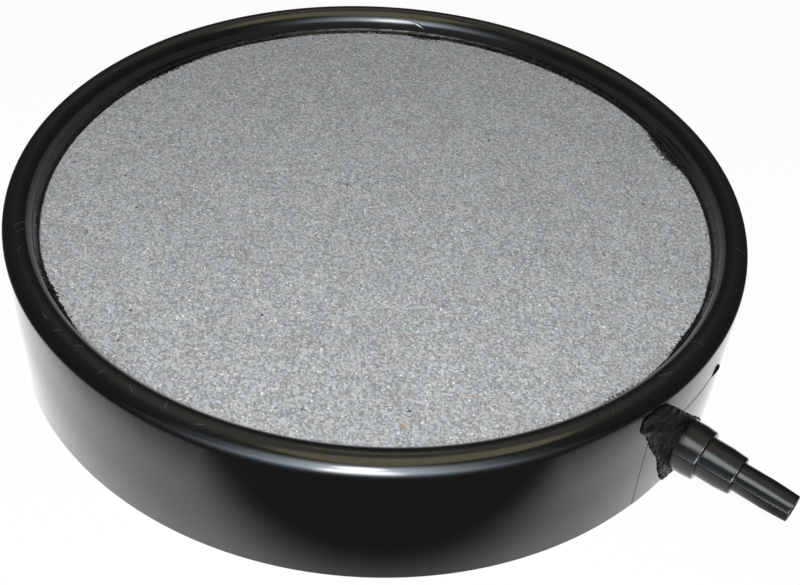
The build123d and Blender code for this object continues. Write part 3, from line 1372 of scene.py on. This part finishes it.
@dataclass
class RootAdhesive:
    """Lumpy adhesive round the connector's root, remodelled over its CAD solid.

    flatten is the share that stays of what stands off the wall. The shoulder is the part that rises
    on the side of +Y, and each of the lumps is a name, a size and a height.
    """

    dish: Dish
    coarse_voxel: float = 0.25
    voxel: float = 0.13
    flatten: float = 0.12
    shoulder_height: float = 11.8
    shoulder_start: float = -7.0
    shoulder_press: float = 0.9
    lumps: tuple[tuple[str, float, float], ...] = (("broad_lumps", 2.4, 0.62), ("fine_lumps", 0.8, 0.3))
    lump_middle: float = 0.38
    least: float = 0.11
    skin: float = 0.5
    lowest: float = 0.05
    drop_angle: float = 7.4
    drop_length: float = 3.2
    drop_thick: float = 0.95
    drop_sink: float = 0.2

    def build(self) -> bpy.types.Object:
        """Copies the solid, presses it flatter, remeshes it finely and lumps its surface.

        Returns:
            The finished patch of adhesive.
        """
        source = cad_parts["connector_glue"]
        clear_selection()
        copy = bpy.data.objects.new("root_adhesive", source.data.copy())
        bpy.context.scene.collection.objects.link(copy)
        bpy.context.view_layer.objects.active = copy
        piece = Workpiece("root_adhesive")
        piece.edit()
        piece.close()
        piece.modify("REMESH", mode="VOXEL", voxel_size=self.coarse_voxel * MM)
        piece.reshape(self.press)
        piece.modify("REMESH", mode="VOXEL", voxel_size=self.voxel * MM)
        for name, size, height in self.lumps:
            texture = bpy.data.textures.new(name, "CLOUDS")
            texture.noise_scale = size * MM
            texture.noise_depth = 1
            settings = {"texture_coords": "LOCAL", "strength": height * MM, "mid_level": self.lump_middle}
            piece.modify("DISPLACE", texture=texture, **settings)
        piece.modify("SMOOTH", factor=0.5, iterations=2)
        piece.reshape(self.lift)
        self.add_drop(piece)
        piece.polish(80)
        return piece.settle(ROOT_FINISH.material(), Slot.ADHESIVE, "connector_glue")

    def press(self, places: np.ndarray) -> np.ndarray:
        """Presses what stands off the wall flatter, and draws its far shoulder down."""
        radius = np.hypot(places[:, 0], places[:, 1])
        wall = self.dish.wall(places[:, 2])
        proud = np.clip(radius - wall, 0, None)
        shrink = (radius - (1 - self.flatten) * proud + np.clip(proud, 0, self.least)) / radius
        excess = np.clip(places[:, 2] - (self.shoulder_height - places[:, 1]), 0, None)
        outside = (radius > wall - self.skin) & (places[:, 1] > self.shoulder_start)
        places[:, 2] -= np.where(outside, self.shoulder_press * excess, 0)
        places[:, :2] *= shrink[:, None]
        return places

    def lift(self, places: np.ndarray) -> np.ndarray:
        """Keeps the adhesive's skin proud of the wall and clear of the floor."""
        radius = np.hypot(places[:, 0], places[:, 1])
        least = self.dish.wall(places[:, 2]) + self.least
        skin = (radius > least - self.skin) & (radius < least)
        places[:, :2] *= np.where(skin, least / radius, 1)[:, None]
        places[:, 2] = np.maximum(places[:, 2], self.lowest)
        return places

    def add_drop(self, piece: Workpiece) -> None:
        """Adds the small drawn-out drop of adhesive at the far end of the pad's top edge.

        Args:
            piece: The patch of adhesive that the drop joins.
        """
        clear_selection()
        bpy.ops.mesh.primitive_uv_sphere_add(segments=32, ring_count=16, radius=MM)
        drop = Workpiece("adhesive_drop")
        middle = radians(self.drop_angle)
        level = self.dish.pad_height - self.drop_sink
        wall = self.dish.wall(level)

        def draw_out(places: np.ndarray) -> np.ndarray:
            """Draws the ball out along the wall, thin at its near end."""
            along = places[:, 1].copy()
            swell = 0.2 + 0.8 * ((along + 1) / 2) ** 1.6
            turn = middle + along * self.drop_length / 2 / wall
            radius = wall + 0.05 + places[:, 0] * swell * self.drop_thick * 0.5
            places[:, 2] = level - self.drop_sink / 2 + places[:, 2] * swell * self.drop_thick
            put_round(places, turn, radius)
            return places

        drop.reshape(draw_out)
        piece.hold()
        drop.body.select_set(True)
        bpy.ops.object.join()


@dataclass(frozen=True)
class Softbox:
    """One soft elliptical lamp that shines on the disc's foot.

    Angles are degrees, wide and tall are its size as seen from the disc, and distance is metres.
    """

    name: str
    azimuth: float
    elevation: float
    wide: float
    tall: float
    radiance: float
    colour: Colour = (1.0, 1.0, 1.0)
    distance: float = 1.3
    mirrored: bool = True
    lights: bool = True
    only: tuple[str, ...] = ()

    def build(self) -> None:
        """Hangs the lamp, and where it names pieces lets it light those alone."""
        outwards = towards(self.azimuth, self.elevation)
        data = bpy.data.lights.new(self.name, "AREA")
        data.shape = "ELLIPSE"
        data.size = 2 * self.distance * tan(radians(self.wide / 2))
        data.size_y = 2 * self.distance * tan(radians(self.tall / 2))
        data.energy = self.radiance * pi * data.size * data.size_y * pi / 4
        data.color = self.colour
        lamp = bpy.data.objects.new(self.name, data)
        bpy.context.scene.collection.objects.link(lamp)
        lamp.location = outwards * self.distance
        lamp.rotation_mode = "QUATERNION"
        lamp.rotation_quaternion = (-outwards).to_track_quat("-Z", "Y")
        lamp.visible_camera = False
        lamp.visible_glossy = self.mirrored
        lamp.visible_diffuse = self.lights
        if self.only:
            lit = bpy.data.collections.new(self.name + "_lit")
            for piece in self.only:
                lit.objects.link(bpy.data.objects[piece])
            lamp.light_linking.receiver_collection = lit


@dataclass(frozen=True)
class Panel:
    """A round bright patch of the room that glossy surfaces mirror, full in its core, in degrees."""

    azimuth: float
    elevation: float
    core: float
    reach: float
    colour: Colour


@dataclass(frozen=True)
class PaintedFloorReflection:
    """How the floor looks in the object's gloss, a painted reflection that glows for glossy rays alone.

    It is painted pale in a halo close to the disc and dark further out, the dark comes nearest in front,
    and beyond that the low window's glow is painted on it. Sizes are radii round the disc's axis, and
    each facing is the cosine of the angle to a direction that stands off the camera's by the offset before
    it.
    """

    camera_azimuth: float
    halo_offset: float = 5.0
    halo_facing: tuple[float, float] = (0.86, 1.0)
    halo_radii: tuple[float, float] = (80.0, 65.0)
    halo_fade: float = 7.0
    level_offset: float = -75.0
    levels: tuple[float, float] = (0.95, 1.5)
    hose_offset: float = 65.0
    hose_facing: tuple[float, float] = (0.8, 0.98)
    hose_level: float = 0.3
    foot_radii: tuple[float, float] = (71.0, 65.0)
    foot_level: float = 0.3
    patch_shift: tuple[float, float, float] = (-76.0, 4.0, 0.0)
    patch_radii: tuple[float, float] = (26.0, 12.0)
    patch_level: float = 0.4
    dark_level: float = 0.04
    tail_radii: tuple[float, float] = (86.0, 180.0)
    core_radii: tuple[float, float] = (102.0, 172.0)
    core_brightness: float = 18.0

    def front(self, offset: float) -> Vector:
        """Level unit vector towards the camera, turned by an offset in degrees."""
        return towards(self.camera_azimuth + offset, 0)

    def halo(self, wiring: Wiring, radius: Socket, outwards: Socket) -> Socket:
        """Brightness of the painted halo.

        Args:
            wiring: Wiring of the floor's material.
            radius: Distance from the axis in millimetres.
            outwards: Direction from the axis.

        Returns:
            The brightness.
        """

        def facing(offset: float) -> Socket:
            """Cosine of the angle between a place's direction and one beside the camera's."""
            return wiring.measure("DOT_PRODUCT", outwards, self.front(offset))

        edge = wiring.slide(facing(self.halo_offset), *self.halo_facing, *self.halo_radii)
        past_edge = wiring.math("SUBTRACT", radius, edge)
        beyond = wiring.between(past_edge, -self.halo_fade, self.halo_fade)
        level = wiring.slide(facing(self.level_offset), 0.0, 1.0, *self.levels)
        beside_hose = wiring.between(facing(self.hose_offset), *self.hose_facing)
        level = wiring.math("ADD", level, wiring.math("MULTIPLY", beside_hose, self.hose_level))
        foot = wiring.between(radius, *self.foot_radii)
        level = wiring.math("ADD", level, wiring.math("MULTIPLY", foot, self.foot_level))
        return wiring.math("MULTIPLY", level, wiring.math("SUBTRACT", 1.0, beyond))

    def wire(self, wiring: Wiring) -> Socket:
        """Adds the painted halo, the painted patch under the hose connector and the window's painted glow.

        Args:
            wiring: Wiring of the floor's material.

        Returns:
            The colour socket.
        """
        place = wiring.places()
        flat = wiring.flat(place)
        radius = wiring.measure("LENGTH", flat)
        outwards = wiring.vector("NORMALIZE", flat)
        halo = self.halo(wiring, radius, outwards)
        under_hose = wiring.node("Mapping", {"Vector": place, "Location": self.patch_shift}).outputs[0]
        patch = wiring.between(wiring.measure("LENGTH", under_hose), *self.patch_radii)
        patch = wiring.math("MULTIPLY", patch, self.patch_level)
        near = wiring.math("MAXIMUM", wiring.math("MAXIMUM", halo, patch), self.dark_level)
        window = wiring.group(WindowGlow(), {"Place": outwards, "Front": self.front(1)})
        core = wiring.math("MULTIPLY", window["Core"], self.core_brightness)
        core = wiring.math("MULTIPLY", core, wiring.between(radius, *self.core_radii))
        glow = wiring.blend(wiring.between(radius, *self.tail_radii), near, window["Tail"], "ADD")
        return wiring.blend(1.0, glow, core, "ADD")


@dataclass
class Studio:
    """Floor, surroundings, lamps and camera.

    eye is the camera's place in millimetres, backwards the direction from its aim to it, and roll
    its turn about that direction in degrees.
    """

    lamps: tuple[Softbox, ...]
    panels: tuple[Panel, ...]
    eye: tuple[float, float, float] = (93.54, -117.10, 134.84)
    backwards: tuple[float, float, float] = (0.44136, -0.59061, 0.67561)
    roll: float = 4.6296
    lens: float = 47.356
    floor_half: float = 3.0
    floor_paint: Colour = (0.86, 0.86, 0.86)
    floor_roughness: float = 0.9
    floor_white: float = 0.95
    even_light: float = 0.14
    room: tuple[tuple[float, Colour], ...] = (
        (0.0, (0.05, 0.05, 0.05)), (0.34, (0.09, 0.09, 0.085)), (0.57, (0.13, 0.13, 0.12)),
        (0.77, (0.34, 0.34, 0.3)), (0.9, (0.6, 0.6, 0.52)), (1.0, (0.62, 0.6, 0.5)),
    )
    tail_rise: tuple[float, float] = (0.6, 0.1)

    def place_camera(self) -> None:
        """Sets the camera where the photograph was taken from."""
        data = bpy.data.cameras.new("photo_camera")
        data.sensor_width = 36.0
        data.sensor_fit = "HORIZONTAL"
        data.lens = self.lens
        data.clip_start = 0.01
        data.clip_end = 50
        camera = bpy.data.objects.new("photo_camera", data)
        bpy.context.scene.collection.objects.link(camera)
        back = Vector(self.backwards).normalized()
        level = Vector((0, 0, 1)).cross(back).normalized()
        upright = back.cross(level)
        turn = radians(self.roll)
        right = level * cos(turn) + upright * sin(turn)
        up = upright * cos(turn) - level * sin(turn)
        axes = Matrix((right, up, back)).transposed().to_4x4()
        camera.matrix_world = Matrix.Translation(Vector(self.eye) * MM) @ axes
        bpy.context.scene.camera = camera

    def lay_floor(self) -> None:
        """Lays the plain pale floor that the disc stands on, seen through from below."""
        clear_selection()
        bpy.ops.mesh.primitive_plane_add(size=2 * self.floor_half, location=(0, 0, 0))
        floor = Workpiece("studio_floor")
        material = bpy.data.materials.new("pale_floor")
        material.use_nodes = True
        material.cycles.emission_sampling = "NONE"
        wiring = Wiring(material.node_tree)
        shader = material.node_tree.nodes["Principled BSDF"]
        wiring.feed(self.floor_paint, shader.inputs["Base Color"])
        wiring.feed(self.floor_roughness, shader.inputs["Roughness"])
        path = wiring.node("LightPath").outputs
        mirrored = PaintedFloorReflection(VIEW_AZIMUTH).wire(wiring)
        surface = shader.outputs[0]
        # White for camera rays, and for glossy rays the floor glows with its painted reflection of light and
        # shade.
        for share, other in (
            (wiring.math("MULTIPLY", path["Is Camera Ray"], self.floor_white), WHITE),
            (path["Is Glossy Ray"], mirrored),
        ):
            glow = wiring.node("Emission", {"Color": other, "Strength": 1.0}).outputs[0]
            surface = wiring.node("MixShader", {0: share, 1: surface, 2: glow}).outputs[0]
        below = wiring.node("NewGeometry").outputs["Backfacing"]
        clear = wiring.node("BsdfTransparent").outputs[0]
        surface = wiring.node("MixShader", {0: below, 1: surface, 2: clear}).outputs[0]
        wiring.feed(surface, material.node_tree.nodes["Material Output"].inputs["Surface"])
        floor.body.data.materials.append(material)

    def surround(self) -> None:
        """White for the camera, a dim room with bright panels in the gloss, even light for the rest."""
        world = bpy.data.worlds.new("studio_world")
        bpy.context.scene.world = world
        world.use_nodes = True
        world.cycles.sampling_method = "NONE"
        wiring = Wiring(world.node_tree)
        background = world.node_tree.nodes["Background"]
        direction = wiring.node("TexCoord").outputs["Generated"]
        rise = wiring.node("SeparateXYZ", {"Vector": direction}).outputs["Z"]
        room = wiring.ramp(rise, self.room)
        for panel in self.panels:
            middle = towards(panel.azimuth, panel.elevation)
            facing = wiring.measure("DOT_PRODUCT", direction, middle)
            share = wiring.between(facing, cos(radians(panel.reach)), cos(radians(panel.core)))
            room = wiring.blend(share, room, panel.colour)
        outwards = wiring.vector("NORMALIZE", wiring.flat(direction))
        window = wiring.group(WindowGlow(), {"Place": outwards, "Front": towards(VIEW_AZIMUTH + 1, 0)})
        low = wiring.between(rise, *self.tail_rise)
        room = wiring.blend(low, room, window["Tail"], "ADD")
        path = wiring.node("LightPath").outputs
        colour = wiring.blend(path["Is Glossy Ray"], (self.even_light,) * 3, room)
        colour = wiring.blend(path["Is Camera Ray"], colour, WHITE)
        wiring.feed(colour, background.inputs["Color"])

    def build(self) -> None:
        """Sets up the whole studio."""
        self.surround()
        self.lay_floor()
        for lamp in self.lamps:
            lamp.build()
        self.place_camera()
        bpy.context.scene.view_settings.view_transform = "Standard"


def studio_lamps() -> tuple[Softbox, ...]:
    """Lists the lamps.

    Returns:
        A low window that the gloss mirrors, a fill from above, and two for the hose connector.
    """
    bluish = (0.85, 0.97, 1.0)
    hose = (CONNECTOR_NAME,)
    azimuth = VIEW_AZIMUTH
    return (
        Softbox("window", azimuth + 1, 9, 13, 18, 20.0, (1.0, 0.99, 0.96), lights=False),
        Softbox("fill", azimuth, 50, 20, 20, 33.0, (1.0, 1.0, 1.01), distance=0.3, mirrored=False),
        Softbox("hose_top", azimuth - 56, 60, 34, 34, 5.6, bluish, lights=False, only=hose),
        Softbox("hose_edge", azimuth + 30, 42, 18, 18, 30.0, bluish, lights=False, only=hose),
    )


def room_panels() -> tuple[Panel, ...]:
    """Lists the warm panels high up in the room.

    Returns:
        One on the camera's side, one to its right and a small one behind the disc.
    """
    warm = (2.0, 1.82, 1.15)
    return (
        Panel(VIEW_AZIMUTH + 6, 55, 17, 26, warm),
        Panel(VIEW_AZIMUTH + 44, 57, 14, 23, warm),
        Panel(VIEW_AZIMUTH + 180, 67, 4, 9, (1.3, 1.2, 0.75)),
    )


def main() -> None:
    """Builds every piece of the air stone and the studio round it."""
    logging.basicConfig(level=logging.INFO, format="%(name)s %(message)s")
    housing_low, housing_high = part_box("housing")
    disc_low, disc_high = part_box("stone_disc")
    connector_low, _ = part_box("hose_connector")
    height = housing_high.z / MM
    dish = Dish(foot_radius=-housing_low.x / MM, height=height, stone_depth=height - disc_high.z / MM)
    dish.build()
    GrainDisc(disc_high.x / MM, disc_high.z / MM, (disc_high.z - disc_low.z) / MM).build()
    EdgeSeal(
        stone_radius=dish.stone_radius, stone_top=dish.stone_top, wall_radius=dish.recess(dish.stone_top)
    ).build()
    HoseConnector(dish.port_height, dish.foot_radius, connector_low.x / MM).build()
    RootAdhesive(dish).build()
    Studio(lamps=studio_lamps(), panels=room_panels()).build()


if __name__ == "__main__":
    main()
